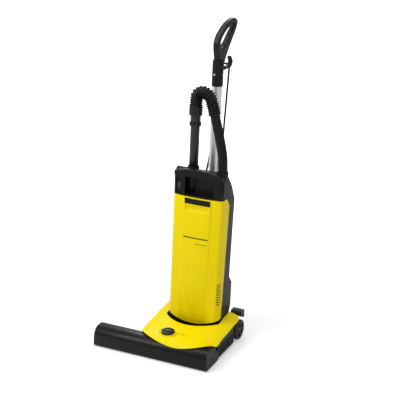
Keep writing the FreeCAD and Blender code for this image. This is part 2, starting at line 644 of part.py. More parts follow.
def vacuum_motor_case():
    case = ring((BODY_X, 2, 64), 38, 35, 118, (0, 0, 1))
    ends = [ring((BODY_X, 2, w), 38, 5 + FIT, 3, (0, 0, 1)) for w in (64, 179)]
    lugs = [box(x_(s), x_(s) + 10, -3, 7, 64, 70) for s in (-47, 37)]
    ports = [box(x_(-5), x_(5), -50, 60, 150, 172)]
    return fuse([case] + ends + lugs).cut(group(ports))


def vacuum_rotor():
    shaft = cyl((BODY_X, 2, 60), 5, 124, (0, 0, 1))
    core = cyl((BODY_X, 2, 76), 20, 55, (0, 0, 1))
    disc = cyl((BODY_X, 2, 150), 32, 3, (0, 0, 1))
    blades = []
    for i in range(9):
        blade = box(BODY_X + 10, BODY_X + 31, 1, 3, 152, 166)
        blade.rotate(Vector(BODY_X, 2, 0), Vector(0, 0, 1), 40 * i)
        blades.append(blade)
    return fuse([shaft, core, disc] + blades)


def control_board():
    board = box(x_(10), x_(80), 20, 22, 420, 520)
    parts = [box(x_(x), x_(x) + 12, 22, 34, w, w + 16) for x in (18, 40, 60) for w in (430, 470, 495)]
    return fuse([board] + parts)


# ---- handle, hooks and cord --------------------------------------------------------------------------
GRIP_OUTER = [(83, 945), (83, 1050), (72, 1094), (72, 1114), (84, 1136), (108, 1155), (150, 1178),
              (192, 1190), (224, 1190), (241, 1176), (237, 1158), (214, 1128), (178, 1088),
              (150, 1052), (130, 1016), (121, 945)]
GRIP_HOLE = [(94, 1108), (99, 1122), (112, 1134), (147, 1155), (188, 1170), (212, 1172), (218, 1164),
             (204, 1148), (170, 1119), (135, 1096), (104, 1092)]


def side_loop(points, closed):
    """Wire in the middle plane through (v, w) points; an open curve is closed by a straight line."""
    curve = Part.BSplineCurve()
    curve.interpolate([Vector(BODY_X, v, w) for v, w in points], PeriodicFlag=closed)
    edges = [curve.toShape()]
    if not closed:
        first, last = points[0], points[-1]
        edges.append(Part.makeLine(Vector(BODY_X, *last), Vector(BODY_X, *first)))
    return Part.Wire(edges)


GRIP_HALF = 12.0


def grip_half(side):
    outer = Part.Face(side_loop(GRIP_OUTER, False)).extrude(Vector(side * GRIP_HALF, 0, 0))
    hole = Part.Face(side_loop(GRIP_HOLE, True)).extrude(Vector(side * GRIP_HALF, 0, 0))
    loop = outer.cut(hole)
    face_x = x_(side * GRIP_HALF)
    loop = rounded(loop, 5.0, lambda e: abs(e.BoundBox.XMin - face_x) < 0.1
                   and abs(e.BoundBox.XMax - face_x) < 0.1 and e.Length > 60)
    sleeve = cyl((BODY_X, TUBE_V, 945), 22, 100, (0, 0, 1))
    half = box(min(BODY_X, x_(side * 40)), max(BODY_X, x_(side * 40)), 0, 300, 900, 1250)
    loop = fuse([loop, sleeve.common(half)])
    return loop.cut(cyl((BODY_X, TUBE_V, 900), TUBE_R, 92, (0, 0, 1)))


def upper_hook():
    side = [(121, 1000), (196, 1000, -0.2), (221, 1022), (204, 1046), (197, 1040), (210, 1022),
            (193, 1011), (121, 1011)]
    return prism_x(side, x_(-8), x_(8))


def lower_hook():
    side = [(73, 398), (106, 398), (131, 404), (131, 424), (124, 424), (124, 410), (105, 405),
            (73, 405)]
    return prism_x(side, 48, 72)


def tube_clamp():
    block = box(x_(-26), x_(26), 76, 126, 440, 530)
    block = rounded(block, 8.0, along((0, 0, 1)))
    return block.cut(cyl((BODY_X, TUBE_V, 446), TUBE_R, 100, (0, 0, 1)))


def handle_tube():
    return ring((BODY_X, TUBE_V, 446), TUBE_R, TUBE_R - 2, 546, (0, 0, 1))


def screws():
    """Grip screw, six housing screws and two clamp screws, as countersunk heads with shanks."""
    found = []
    found.append(cyl((x_(20), TUBE_V, 990), 5, 3))
    for x in (-80, 80):
        for v, w in ((90, 100), (68.5, 300), (78, 500)):
            found.append(cyl((s_(x), v, w), 4, 3, (0, 1, 0)))
    for w in (460, 510):
        found.append(cyl((BODY_X, 125, w), 4.5, 2.5, (0, 1, 0)))
    return group(found)


CORD_ROUTE = [(112, 96, 568), (98, 168, 992), (98, 172, 1020), (66, 172, 1020), (66, 168, 992),
              (50, 138, 650), (26, 118, 510), (-8, 100, 386)]
HOOK_TURN = {2: 14.0, 3: 14.0}      # bend radii where the cord goes over the upper hook
COIL_X, COIL_V, COIL_W = 56.0, 99.0, 322.0
COIL_MEAN_R, COIL_HALF = 72.0, 20.0


def cord_gland():
    """Tapered strain relief that leads the cord out of the back of the housing."""
    a, b = Vector(*CORD_ROUTE[0]), Vector(*CORD_ROUTE[1])
    along_cord = (b - a).normalize()
    relief = Part.makeCone(8.5, 6.0, 38, a - along_cord * 38, along_cord)
    foot = box(103, 124, 76, 104, 516, 532)
    return fuse([relief, foot])


def mains_cord():
    return bent_tube(CORD_ROUTE, CORD_R, HOOK_TURN)


def cord_coil():
    outer, inner = COIL_MEAN_R + 16, COIL_MEAN_R - 16
    coil = ring((COIL_X, COIL_V - COIL_HALF, COIL_W), outer, inner, 2 * COIL_HALF, (0, 1, 0))
    return coil.makeFillet(9.0, [e for e in coil.Edges if e.Curve.TypeId == "Part::GeomCircle"])


def mains_plug():
    low = COIL_W - 34
    body = box(COIL_X - 18, COIL_X + 18, COIL_V - 10, COIL_V + 10, low, low + 37)
    body = rounded(body, 5.0, along((0, 0, 1)))
    neck = Part.makeCone(8, 6, 56, Vector(COIL_X, COIL_V, low + 37), Vector(0, 0, 1))
    pins = [cyl((COIL_X + x, COIL_V, low - 17), 2.0, 18, (0, 0, 1)) for x in (-7, 7)]
    return fuse([body, neck] + pins)


# ---- wand and hose -------------------------------------------------------------------------------------
def wand_tube():
    tube = ring((WAND_X, WAND_V, 561), WAND_R, WAND_R - 2, 257, (0, 0, 1))
    collar = ring((WAND_X, WAND_V, 804), 23, WAND_R - 1, 14, (0, 0, 1))
    return fuse([tube, collar])


def hose_cuff():
    neck = ring((WAND_X, WAND_V, 818), 20, 15, 30, (0, 0, 1))
    cuff = ring((WAND_X, WAND_V, 845), 26, 15, 38, (0, 0, 1))
    return rounded(fuse([neck, cuff]), 2.0,
                   lambda e: isinstance(e.Curve, Part.Circle) and e.Curve.Radius > 25)


HOSE_ROUTE = [(WAND_X, 2, 883), (WAND_X, 2, 930), (117, 2, 930), (124, 2, 855)]
PIPE_ROUTE = [(168, 2, 642), (165, 2, 700), (146, 2, 780), (124, 2, 855)]


def suction_hose():
    return bent_tube(HOSE_ROUTE, BEND_R)


def hose_pipe():
    return bent_tube(PIPE_ROUTE, HOSE_R)


# ---- the machine ---------------------------------------------------------------------------------------
def head_parts():
    deck_sheet, bezel = deck(), dial_bezel()
    pins = [axle_pin(1), axle_pin(-1), cyl((31, CARRIAGE_Y, CARRIAGE_Z), 2.5, 110),
            cyl((198, 315, 79), 2.5, 19.5)]
    return {
        "base_chassis": chassis(), "brush_hood": hood(), "end_cap_right": end_cap(1),
        "end_cap_left": end_cap(-1), "sole_plate": sole_plate(), "deck_cover": deck_sheet,
        "dial_bezel": bezel, "side_cover": side_cover(), "pivot_pins": group(pins),
        "tilt_bushes": tilt_bushes(), "brush_motor_case": brush_motor_case(),
        "suction_duct": suction_duct(), "drive_belt": drive_belt(), "pedal_spring": pedal_spring(),
        "brush_core": brush_core(), "brush_bristles": brush_bristles(),
        "brush_pulley": pulley(BRUSH_Y, BRUSH_Z, BRUSH_PULLEY_R, 5, 3),
        "brush_motor_rotor": brush_motor_rotor(),
        "motor_pulley": pulley(MOTOR_Y, MOTOR_Z, MOTOR_PULLEY_R, 4, 3.5),
        "wheel_right": wheel_hub(WHEEL_XS[1]), "tyre_right": tyre(WHEEL_XS[1]),
        "wheel_left": wheel_hub(WHEEL_XS[0]), "tyre_left": tyre(WHEEL_XS[0]),
        "roller_carriage": roller_carriage(), "front_rollers": front_rollers(),
        "height_dial": height_dial(), "release_pedal": release_pedal(),
    }


def body_parts():
    return {
        "lower_frame": lower_frame(), "rear_housing": rear_housing(), "top_section": top_section(),
        "carry_handle": carry_handle(), "inner_partition": inner_partition(),
        "bag_inlet_duct": bag_inlet_duct(), "dust_bag": dust_bag(), "motor_filter": motor_filter(),
        "exhaust_filter": exhaust_filter(), "vacuum_motor_case": vacuum_motor_case(),
        "vacuum_rotor": vacuum_rotor(), "control_board": control_board(), "bag_door": bag_door(),
        "door_seal": door_seal(), "door_latch": door_latch(), "power_switch": power_switch(),
        "handle_tube": handle_tube(), "tube_clamp": tube_clamp(), "grip_left": grip_half(-1),
        "grip_right": grip_half(1), "screws": screws(), "upper_hook": upper_hook(),
        "lower_hook": lower_hook(), "wand_holder": wand_holder(), "hose_port": hose_port(),
        "hose_pipe": hose_pipe(), "suction_hose": suction_hose(), "wand_tube": wand_tube(),
        "hose_cuff": hose_cuff(), "cord_gland": cord_gland(), "mains_cord": mains_cord(),
        "cord_coil": cord_coil(), "mains_plug": mains_plug(),
    }


CORD_NODES = ("mains_cord", "cord_coil", "mains_plug")
machine = head_parts()
machine.update({name: lean(shape) for name, shape in body_parts().items()})
bounds = FreeCAD.BoundBox()
for name, shape in machine.items():
    if name not in CORD_NODES:
        bounds.add(shape.optimalBoundingBox(True))
    if not shape.isValid():
        print("not valid:", name)
    export(name, shape)
print(len(machine), "nodes; x", round(bounds.XMin, 1), round(bounds.XMax, 1), "y middle",
      round((bounds.YMin + bounds.YMax) / 2, 2), "z", round(bounds.ZMin, 2), round(bounds.ZMax, 1))
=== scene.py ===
"""Looks for the upright vacuum cleaner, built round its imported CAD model. Lengths are in metres."""
import json
import math
import random

import bpy
import bmesh
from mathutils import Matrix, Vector, noise as field


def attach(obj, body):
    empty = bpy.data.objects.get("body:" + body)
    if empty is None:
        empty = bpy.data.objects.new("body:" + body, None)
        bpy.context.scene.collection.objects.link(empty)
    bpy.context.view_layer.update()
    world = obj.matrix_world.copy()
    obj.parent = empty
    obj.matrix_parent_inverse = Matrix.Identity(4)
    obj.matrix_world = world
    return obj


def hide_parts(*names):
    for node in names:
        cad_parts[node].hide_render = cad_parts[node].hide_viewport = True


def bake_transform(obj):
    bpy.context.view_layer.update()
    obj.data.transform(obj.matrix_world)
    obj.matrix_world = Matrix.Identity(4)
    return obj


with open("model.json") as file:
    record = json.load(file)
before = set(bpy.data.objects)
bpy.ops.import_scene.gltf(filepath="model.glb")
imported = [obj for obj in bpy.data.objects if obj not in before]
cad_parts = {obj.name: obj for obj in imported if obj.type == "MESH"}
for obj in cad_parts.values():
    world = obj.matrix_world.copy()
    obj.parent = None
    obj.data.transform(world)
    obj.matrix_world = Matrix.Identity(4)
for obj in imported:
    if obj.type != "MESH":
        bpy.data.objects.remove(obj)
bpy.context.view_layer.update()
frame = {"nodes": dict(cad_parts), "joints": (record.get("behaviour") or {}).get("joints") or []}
nodes = frame["nodes"]
random.seed(7)

# The body's own lines: x across, v rearwards and w up along the body from the tilt axis.
joints = {joint["name"]: joint for joint in frame["joints"]}
TILT = Vector(joints["body_tilt"]["pos_m"])
UP = Vector(joints["wand_lift"]["axis"])
BACK = Vector((0, UP.z, -UP.y))


def body_point(x, v, w):
    """Row-frame point in metres for a place in the body's own lines in millimetres."""
    return Vector((x / 1000, TILT.y, TILT.z)) + BACK * (v / 1000) + UP * (w / 1000)


# ---- materials -----------------------------------------------------------------------------------
def shader(name, colour, rough, metal=0.0, coat=0.0, specular=0.4):
    """New material with its Principled node and texture coordinates in metres."""
    mat = bpy.data.materials.new(name)
    mat.use_nodes = True
    tree = mat.node_tree
    bsdf = tree.nodes["Principled BSDF"]
    bsdf.inputs["Base Color"].default_value = (*colour, 1)
    bsdf.inputs["Roughness"].default_value = rough
    bsdf.inputs["Metallic"].default_value = metal
    bsdf.inputs["Coat Weight"].default_value = coat
    bsdf.inputs["Coat Roughness"].default_value = 0.2
    bsdf.inputs["Specular IOR Level"].default_value = specular
    coords = tree.nodes.new("ShaderNodeTexCoord")
    return mat, tree, bsdf, coords


def noise(tree, coords, scale, stretch=(1, 1, 1), detail=3.0):
    mapping = tree.nodes.new("ShaderNodeMapping")
    mapping.inputs["Scale"].default_value = stretch
    tex = tree.nodes.new("ShaderNodeTexNoise")
    tex.inputs["Scale"].default_value = scale
    tex.inputs["Detail"].default_value = detail
    tree.links.new(coords.outputs["Object"], mapping.inputs["Vector"])
    tree.links.new(mapping.outputs["Vector"], tex.inputs["Vector"])
    return tex.outputs["Fac"]


def spread(tree, value, low, high):
    """Maps a 0 to 1 texture to the range from low to high."""
    ramp = tree.nodes.new("ShaderNodeMapRange")
    ramp.inputs["From Min"].default_value = 0.3
    ramp.inputs["From Max"].default_value = 0.7
    ramp.inputs["To Min"].default_value = low
    ramp.inputs["To Max"].default_value = high
    tree.links.new(value, ramp.inputs["Value"])
    return ramp.outputs["Result"]


def tint(tree, bsdf, value, dark, light):
    mix = tree.nodes.new("ShaderNodeMix")
    mix.data_type = "RGBA"
    mix.inputs["A"].default_value = (*dark, 1)
    mix.inputs["B"].default_value = (*light, 1)
    tree.links.new(value, mix.inputs["Factor"])
    tree.links.new(mix.outputs["Result"], bsdf.inputs["Base Color"])


def bump(tree, bsdf, value, height, strength=1.0):
    node = tree.nodes.new("ShaderNodeBump")
    node.inputs["Distance"].default_value = height
    node.inputs["Strength"].default_value = strength
    tree.links.new(value, node.inputs["Height"])
    tree.links.new(node.outputs["Normal"], bsdf.inputs["Normal"])


def plastic(name, colour, rough, grain=1400, height=0.00006, coat=0.0, drift=0.12, specular=0.24):
    """Moulded plastic: spark-eroded grain, faint clouding of colour and of gloss."""
    mat, tree, bsdf, coords = shader(name, colour, rough, coat=coat, specular=specular)
    broad = noise(tree, coords, 9, detail=2)
    dark = tuple(c * (1 - drift) for c in colour)
    light = tuple(min(1, c * (1 + drift)) for c in colour)
    tint(tree, bsdf, spread(tree, broad, 0, 1), dark, light)
    smudge = noise(tree, coords, 38, detail=4)
    tree.links.new(spread(tree, smudge, rough - 0.05, rough + 0.06), bsdf.inputs["Roughness"])
    bump(tree, bsdf, noise(tree, coords, grain, detail=1), height)
    return mat


def brushed(name, colour, rough, stretch, metal=1.0):
    """Drawn or brushed metal with fine lines along one direction."""
    mat, tree, bsdf, coords = shader(name, colour, rough, metal=metal)
    lines = noise(tree, coords, 260, stretch, detail=2)
    tree.links.new(spread(tree, lines, rough - 0.07, rough + 0.09), bsdf.inputs["Roughness"])
    bump(tree, bsdf, lines, 0.00002)
    return mat


def fibres(name, dark, light, rough, scale, stretch):
    """Paper, foam or nylon: coloured speckle and a soft bump."""
    mat, tree, bsdf, coords = shader(name, dark, rough, specular=0.25)
    grain = noise(tree, coords, scale, stretch, detail=6)
    tint(tree, bsdf, spread(tree, grain, 0, 1), dark, light)
    bump(tree, bsdf, grain, 0.0003)
    return mat


YELLOW = plastic("yellow_shell", (0.90, 0.71, 0.0), 0.42, grain=1700, height=0.00003,
                 drift=0.03, specular=0.12)
BLACK = plastic("black_shell", (0.0055, 0.005, 0.0045), 0.42)
HOOD_BLACK = plastic("hood_black", (0.006, 0.0055, 0.0048), 0.34, height=0.00005)
GREY = plastic("charcoal_shell", (0.028, 0.027, 0.024), 0.45, grain=1100, height=0.0001)
CAP_GREY = plastic("end_cap_grey", (0.014, 0.014, 0.0135), 0.46)
WAND_BLACK = plastic("wand_black", (0.013, 0.013, 0.014), 0.24, height=0.00002, coat=0.3)
HOSE_BLACK = plastic("hose_black", (0.007, 0.007, 0.0072), 0.42, grain=900)
GRIP_BLACK = plastic("grip_black", (0.010, 0.010, 0.010), 0.38, grain=1000, height=0.0001)
SATIN = brushed("satin_tube", (0.93, 0.93, 0.94), 0.42, (6, 6, 0.05))
STEEL = brushed("bright_steel", (0.62, 0.62, 0.63), 0.32, (0.05, 4, 4))
BRONZE = brushed("bronze", (0.58, 0.40, 0.18), 0.42, (1, 1, 1))
RUBBER = plastic("soft_rubber", (0.028, 0.028, 0.029), 0.62, grain=700, height=0.0001)
TYRE = plastic("tyre_rubber", (0.035, 0.034, 0.034), 0.72, grain=500, height=0.0002)
CORD = plastic("cord_sheath", (0.019, 0.019, 0.020), 0.48, grain=500)
NYLON = fibres("bristle_nylon", (0.03, 0.03, 0.032), (0.09, 0.09, 0.09), 0.45, 900, (1, 1, 1))
PAPER = fibres("bag_paper", (0.62, 0.55, 0.42), (0.78, 0.72, 0.60), 0.85, 240, (1, 1, 0.4))
FILTER = fibres("filter_foam", (0.55, 0.56, 0.58), (0.80, 0.80, 0.80), 0.9, 600, (1, 1, 1))
FOAM = fibres("seal_foam", (0.03, 0.03, 0.03), (0.08, 0.08, 0.08), 0.9, 900, (1, 1, 1))
BOARD = plastic("circuit_board", (0.03, 0.16, 0.06), 0.4)
# Dark for the real print, and also for painted shade in the louvres and round the dial's rim.
PRINT_AND_SHADE_DARK = plastic("print_and_painted_shade", (0.03, 0.027, 0.012), 0.5)
SWITCH_GREY = plastic("switch_grey", (0.045, 0.045, 0.047), 0.35)

FINISH = {
    YELLOW: ["deck_cover", "bag_door", "dial_bezel"],
    HOOD_BLACK: ["brush_hood", "height_dial"],
    CAP_GREY: ["end_cap_right", "end_cap_left", "side_cover", "base_chassis"],
    BLACK: ["lower_frame", "top_section", "carry_handle", "inner_partition", "bag_inlet_duct",
            "tube_clamp", "wand_holder", "hose_port", "door_latch", "roller_carriage", "brush_core",
            "brush_pulley", "vacuum_motor_case", "brush_motor_case", "suction_duct", "mains_plug"],
    GREY: ["rear_housing", "release_pedal", "wheel_right", "wheel_left"],
    GRIP_BLACK: ["grip_left", "grip_right", "upper_hook", "lower_hook"],
    WAND_BLACK: ["wand_tube", "hose_cuff"],
    HOSE_BLACK: ["hose_pipe"],
    SATIN: ["handle_tube"],
    STEEL: ["sole_plate", "pivot_pins", "brush_motor_rotor", "motor_pulley", "pedal_spring", "screws",
            "vacuum_rotor"],
    BRONZE: ["tilt_bushes"],
    RUBBER: ["drive_belt", "cord_gland"],
    TYRE: ["tyre_right", "tyre_left", "front_rollers"],
    FOAM: ["door_seal"],
    FILTER: ["motor_filter", "exhaust_filter"],
    BOARD: ["control_board"],
    SWITCH_GREY: ["power_switch"],
}
SOFT_EDGES = {"top_section": 0.0012, "rear_housing": 0.0012, "bag_door": 0.0004, "release_pedal": 0.0012,
              "side_cover": 0.0006, "base_chassis": 0.0008, "tube_clamp": 0.0010, "upper_hook": 0.0015,
              "lower_hook": 0.0015, "deck_cover": 0.0008, "lower_frame": 0.0008, "wheel_right": 0.0008,
              "wheel_left": 0.0008, "hose_cuff": 0.0008, "wand_tube": 0.0006, "hose_port": 0.0008,
              "wand_holder": 0.0008, "power_switch": 0.0008, "carry_handle": 0.0010, "brush_hood": 0.0006}


def dress_cad_nodes():
    for mat, names in FINISH.items():
        for name in names:
            nodes[name].data.materials.clear()
            nodes[name].data.materials.append(mat)
    for name, width in SOFT_EDGES.items():
        weld = nodes[name].modifiers.new("weld", "WELD")
        weld.merge_threshold = 0.00001
        bevel = nodes[name].modifiers.new("soft_edge", "BEVEL")
        bevel.width = width
        bevel.segments = 2
        bevel.limit_method = "ANGLE"
        bevel.angle_limit = math.radians(38)
        bevel.harden_normals = False


# ---- mesh helpers --------------------------------------------------------------------------------
def make_object(name, mesh, mat, body=None, smooth=True):
    piece = bpy.data.objects.new(name, mesh)
    bpy.context.scene.collection.objects.link(piece)
    mesh.materials.append(mat)
    if smooth:
        mesh.shade_smooth()
    if body:
        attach(piece, body)
    return piece


def from_bmesh(name, bm, mat, body=None, smooth=True):
    bmesh.ops.recalc_face_normals(bm, faces=bm.faces)
    mesh = bpy.data.meshes.new(name)
    bm.to_mesh(mesh)
    bm.free()
    return make_object(name, mesh, mat, body, smooth)


def spline_curve(name, points):
    """NURBS curve of order 3 with the route's points as its control points."""
    curve = bpy.data.curves.new(name, "CURVE")
    curve.dimensions = "3D"
    spline = curve.splines.new("NURBS")
    spline.points.add(len(points) - 1)
    for point, place in zip(spline.points, points):
        point.co = (*place, 1)
    spline.order_u = 3
    spline.use_endpoint_u = True
    spline.resolution_u = 12
    return curve


def spline_samples(points, step):
    """Evenly spaced points along the route's smooth line."""
    probe = bpy.data.objects.new("probe", spline_curve("probe", points))
    line = bpy.data.meshes.new_from_object(probe)
    raw = [v.co.copy() for v in line.vertices]
    bpy.data.meshes.remove(line)
    bpy.data.objects.remove(probe)
    lengths = [0.0]
    for a, b in zip(raw, raw[1:]):
        lengths.append(lengths[-1] + (b - a).length)
    count = max(2, round(lengths[-1] / step))
    samples, i = [], 0
    for k in range(count + 1):
        want = lengths[-1] * k / count
        while i < len(raw) - 2 and lengths[i + 1] < want:
            i += 1
        share = (want - lengths[i]) / max(lengths[i + 1] - lengths[i], 1e-9)
        samples.append(raw[i].lerp(raw[i + 1], share))
    return samples, lengths[-1]


def swept_tube(name, samples, radius_at, mat, sides=28):
    """Closed tube along samples; radius_at(k) gives the radius at sample k."""
    bm = bmesh.new()
    rings, side_way = [], None
    for k, place in enumerate(samples):
        ahead = samples[min(k + 1, len(samples) - 1)] - samples[max(k - 1, 0)]
        ahead.normalize()
        if side_way is None:
            side_way = ahead.orthogonal().normalized()
        side_way = (side_way - ahead * side_way.dot(ahead)).normalized()
        up_way = ahead.cross(side_way)
        r = radius_at(k)
        ring = []
        for s in range(sides):
            turn = 2 * math.pi * s / sides
            out = side_way * math.cos(turn) + up_way * math.sin(turn)
            ring.append(bm.verts.new(place + out * r))
        rings.append(ring)
    for a, b in zip(rings, rings[1:]):
        for s in range(sides):
            bm.faces.new((a[s], a[(s + 1) % sides], b[(s + 1) % sides], b[s]))
    bm.faces.new(rings[0])
    bm.faces.new(rings[-1])
    return from_bmesh(name, bm, mat)


# ---- hose ----------------------------------------------------------------------------------------
def make_hose():
    """Corrugated hose in its tight bend over the top, built in one fixed shape; the real hose stretches
    as the wand is drawn.
    """
    pitch, per_wave = 0.0088, 8
    route = [body_point(44, 2, 884), body_point(44, 2, 902), body_point(47, 2, 928),
             body_point(75, 2, 940), body_point(102, 2, 922), body_point(114, 2, 890),
             body_point(124, 2, 855)]
    samples, _ = spline_samples(route, pitch / per_wave)

    def radius_at(k):
        wave = math.cos(2 * math.pi * k / per_wave)
        return 0.0228 + 0.0026 * math.copysign(abs(wave) ** 0.6, wave)

    hose = swept_tube("suction_hose_skin", samples, radius_at, HOSE_BLACK, 36)
    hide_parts("suction_hose")
    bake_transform(hose)
    return hose


# ---- mains cord ----------------------------------------------------------------------------------
CORD_ROUTE = [(112, 96, 568), (98, 168, 992), (98, 172, 1020), (66, 172, 1020), (66, 168, 992),
              (50, 138, 650), (26, 118, 510), (-8, 100, 386)]
COIL_X, COIL_V, COIL_W = 56.0, 99.0, 322.0
COIL_LAYERS = (84.0, 76.0, 68.0, 60.0)
TURNS_PER_LAYER = 5
LEAD_OUT_STEPS = 4          # steps short of a full turn at which the last layer leaves for the plug
CORD_D = 8.0


def coil_points():
    """Turns of the put-away length: five side by side in each of four layers, outside to inside."""
    points, per_turn = [], 14
    in_layer = TURNS_PER_LAYER * per_turn
    for layer, radius in enumerate(COIL_LAYERS):
        last = in_layer - LEAD_OUT_STEPS if radius == COIL_LAYERS[-1] else in_layer
        for i in range(last):
            turn = 2 * math.pi * i / per_turn + math.radians(190)
            share = i / in_layer
            if layer % 2:
                share = 1 - share
            v = COIL_V - 16 + 32 * share
            points.append((COIL_X + radius * math.cos(turn), v, COIL_W + radius * math.sin(turn)))
    return points


def make_cord():
    lead_in = [(-8, 100, 386), (-19, 90, 358), (-26, 84, 332)]
    inner = COIL_W + COIL_LAYERS[-1]
    lead_out = [(COIL_X + 14, COIL_V - 9, inner + 2), (COIL_X + 2, COIL_V - 3, inner + 1),
                (COIL_X, COIL_V, inner - 10), (COIL_X, COIL_V, inner - 24)]
    route = CORD_ROUTE[:-1] + lead_in + coil_points() + lead_out
    route = [body_point(*p) for p in route]
    cord = bpy.data.objects.new("mains_cord_line", spline_curve("mains_cord_line", route))
    cord.data.bevel_depth = CORD_D / 2000
    cord.data.bevel_resolution = 4
    cord.data.use_fill_caps = True
    cord.data.materials.append(CORD)
    bpy.context.scene.collection.objects.link(cord)
    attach(cord, "upright")
    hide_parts("mains_cord", "cord_coil")
    samples, length = spline_samples(route, 0.01)
    print("cord length", round(length, 3))
    return cord


# ---- bag and bristles ------------------------------------------------------------------------------
def make_dust_bag():
    """Soft paper bag, pinched at its edges and creased; the card collar that takes the duct is not built.
    """
    half_x, low, high, middle_v, half_v = 85.0, 223.0, 511.0, -20.0, 15.4
    columns, rows = 40, 60
    bm = bmesh.new()
    faces = {}
    for side in (-1, 1):
        for i in range(columns + 1):
            for j in range(rows + 1):
                a, b = 2 * i / columns - 1, 2 * j / rows - 1
                swell = (max(0.0, 1 - abs(a) ** 5) * max(0.0, 1 - abs(b) ** 8)) ** 0.5
                crease = field.noise(Vector((a * 3.1, b * 5.2, side * 4.0)))
                fine = field.noise(Vector((a * 9.0, b * 16.0, side * 9.0)))
                depth = half_v * swell * (0.86 + 0.10 * crease + 0.05 * fine)
                place = body_point(82 + half_x * a * (1 - 0.02 * swell), middle_v + side * depth,
                                   (low + high) / 2 + (high - low) / 2 * b)
                faces[side, i, j] = bm.verts.new(place)
        for i in range(columns):
            for j in range(rows):
                bm.faces.new([faces[side, i, j], faces[side, i + 1, j], faces[side, i + 1, j + 1],
                              faces[side, i, j + 1]])
    bmesh.ops.remove_doubles(bm, verts=bm.verts, dist=0.00002)
    bag = from_bmesh("dust_bag_paper", bm, PAPER, "upright")
    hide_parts("dust_bag")
    return bag


def make_bristles():
    """Two spiral rows of tufts, every tuft a spread bundle of nylon strands."""
    roll = Vector(joints["brush_spin"]["pos_m"])
    half, count, strands = 0.228, 27, 16
    root, tip = 0.0155, 0.0308
    bm = bmesh.new()
    for row in (0, 180):
        for i in range(count):
            turn = math.radians(row + 300 * i / (count - 1))
            out = Vector((0, math.sin(turn), math.cos(turn)))
            across = Vector((0, math.cos(turn), -math.sin(turn)))
            x = -half + 0.008 + (2 * half - 0.020) * i / (count - 1)
            foot = Vector((x, roll.y, roll.z))
            for k in range(strands):
                spin = 2.4 * k
                reach = math.sqrt((k + 0.5) / strands)
                push = Vector((1, 0, 0)) * math.cos(spin) + across * math.sin(spin)
                base = foot + out * root + push * (0.0019 * reach)
                end = foot + out * (tip - random.uniform(0, 0.0012)) + push * (0.0040 * reach)
                ends = []
                for place, r in ((base, 0.00050), (end, 0.00038)):
                    corners = [Vector((1, 0, 0)) * math.cos(t) + across * math.sin(t)
                               for t in (0, math.radians(120), math.radians(240))]
                    ends.append([bm.verts.new(place + corner * r) for corner in corners])
                for a in range(3):
                    b = (a + 1) % 3
                    bm.faces.new((ends[0][a], ends[0][b], ends[1][b], ends[1][a]))
                bm.faces.new(ends[1])
                bm.faces.new(ends[0])
    bristles = from_bmesh("bristle_strands", bm, NYLON, "brush_roll", smooth=False)
    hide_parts("brush_bristles")
    return bristles


# ---- printed marks and painted shade, all plain shapes -----------------------------------------------
def surface_at(name, start, direction):
    """Where a ray meets a CAD node, in the row's frame."""
    node = nodes[name]
    local = node.matrix_world.inverted()
    origin = local @ start
    heading = (local.to_3x3() @ direction).normalized()
    hit, place, normal, index = node.ray_cast(origin, heading)
    return node.matrix_world @ place if hit else None


def patch(name, on, body, mat, columns, rows, start_of, direction, lift=0.00025, thick=0.0004):
    """Thin skin laid on a CAD node: start_of(a, b) gives ray starts for a and b from 0 to 1."""
    bm = bmesh.new()
    top, under = [], []
    for i in range(columns + 1):
        for j in range(rows + 1):
            start = start_of(i / columns, j / rows)
            place = surface_at(on, start, direction)
            if place is None:
                raise ValueError(f"{name} misses {on}")
            top.append(bm.verts.new(place - direction * lift))
            under.append(bm.verts.new(place + direction * (thick - lift)))

    def at(i, j):
        return i * (rows + 1) + j

    for i in range(columns):
        for j in range(rows):
            quad = (at(i, j), at(i + 1, j), at(i + 1, j + 1), at(i, j + 1))
            bm.faces.new([top[q] for q in quad])
            bm.faces.new([under[q] for q in reversed(quad)])
    rim = ([at(i, 0) for i in range(columns)] + [at(columns, j) for j in range(rows)]
           + [at(i, rows) for i in range(columns, 0, -1)] + [at(0, j) for j in range(rows, 0, -1)])
    for a, b in zip(rim, rim[1:] + rim[:1]):
        bm.faces.new((top[a], top[b], under[b], under[a]))
    return from_bmesh(name, bm, mat, body)


def door_strip(name, x0, x1, w0, w1, mat=None):
    """Strip on the door's front, seen from the front."""
    def start_of(a, b):
        return body_point(x0 + (x1 - x0) * a, -120, w0 + (w1 - w0) * b)
    return patch(name, "bag_door", "door", mat or PRINT_AND_SHADE_DARK, 12, 1, start_of, BACK)


def deck_arc(name, inner, outer, first, last, columns=18):
    """Arc round the dial on the deck, with angles in degrees from the right, anticlockwise."""
    dial = Vector(joints["dial_turn"]["pos_m"])

    def start_of(a, b):
        turn = math.radians(first + (last - first) * a)
        r = (inner + (outer - inner) * b) / 1000
        return Vector((dial.x + r * math.cos(turn), dial.y + r * math.sin(turn), 0.2))
    return patch(name, "deck_cover", "head", PRINT_AND_SHADE_DARK, columns, 1, start_of, Vector((0, 0, -1)))


def make_louvre_shade_screens():
    """Dark sheets inside the door's louvres, one on each side, as painted shade in the slots."""
    for name, x in (("louvre_shade_right", 187.4), ("louvre_shade_left", -15.4)):
        bm = bmesh.new()
        bmesh.ops.create_cube(bm, size=1)
        for vert in bm.verts:
            vert.co = body_point(x + vert.co.x, -17 + 21 * vert.co.y, 158 + 100 * vert.co.z)
        from_bmesh(name, bm, PRINT_AND_SHADE_DARK, "door", smooth=False)


def make_louvre_shade_mouths():
    """Painted shade: dark patches where the right-hand louvres run out round the corner of the door."""
    inward = (Vector((-1, 0, 0)) + BACK).normalized()
    for i in range(9):
        def start_of(a, b):
            edge = body_point(184 + 7 * a, -38.5 + 13 * a, 112.5 + 10 * i + 4.2 * b + 3 * a)
            return edge - inward * 0.05
        patch(f"louvre_shade_mouth_{i}", "bag_door", "door", PRINT_AND_SHADE_DARK, 6, 1, start_of, inward)


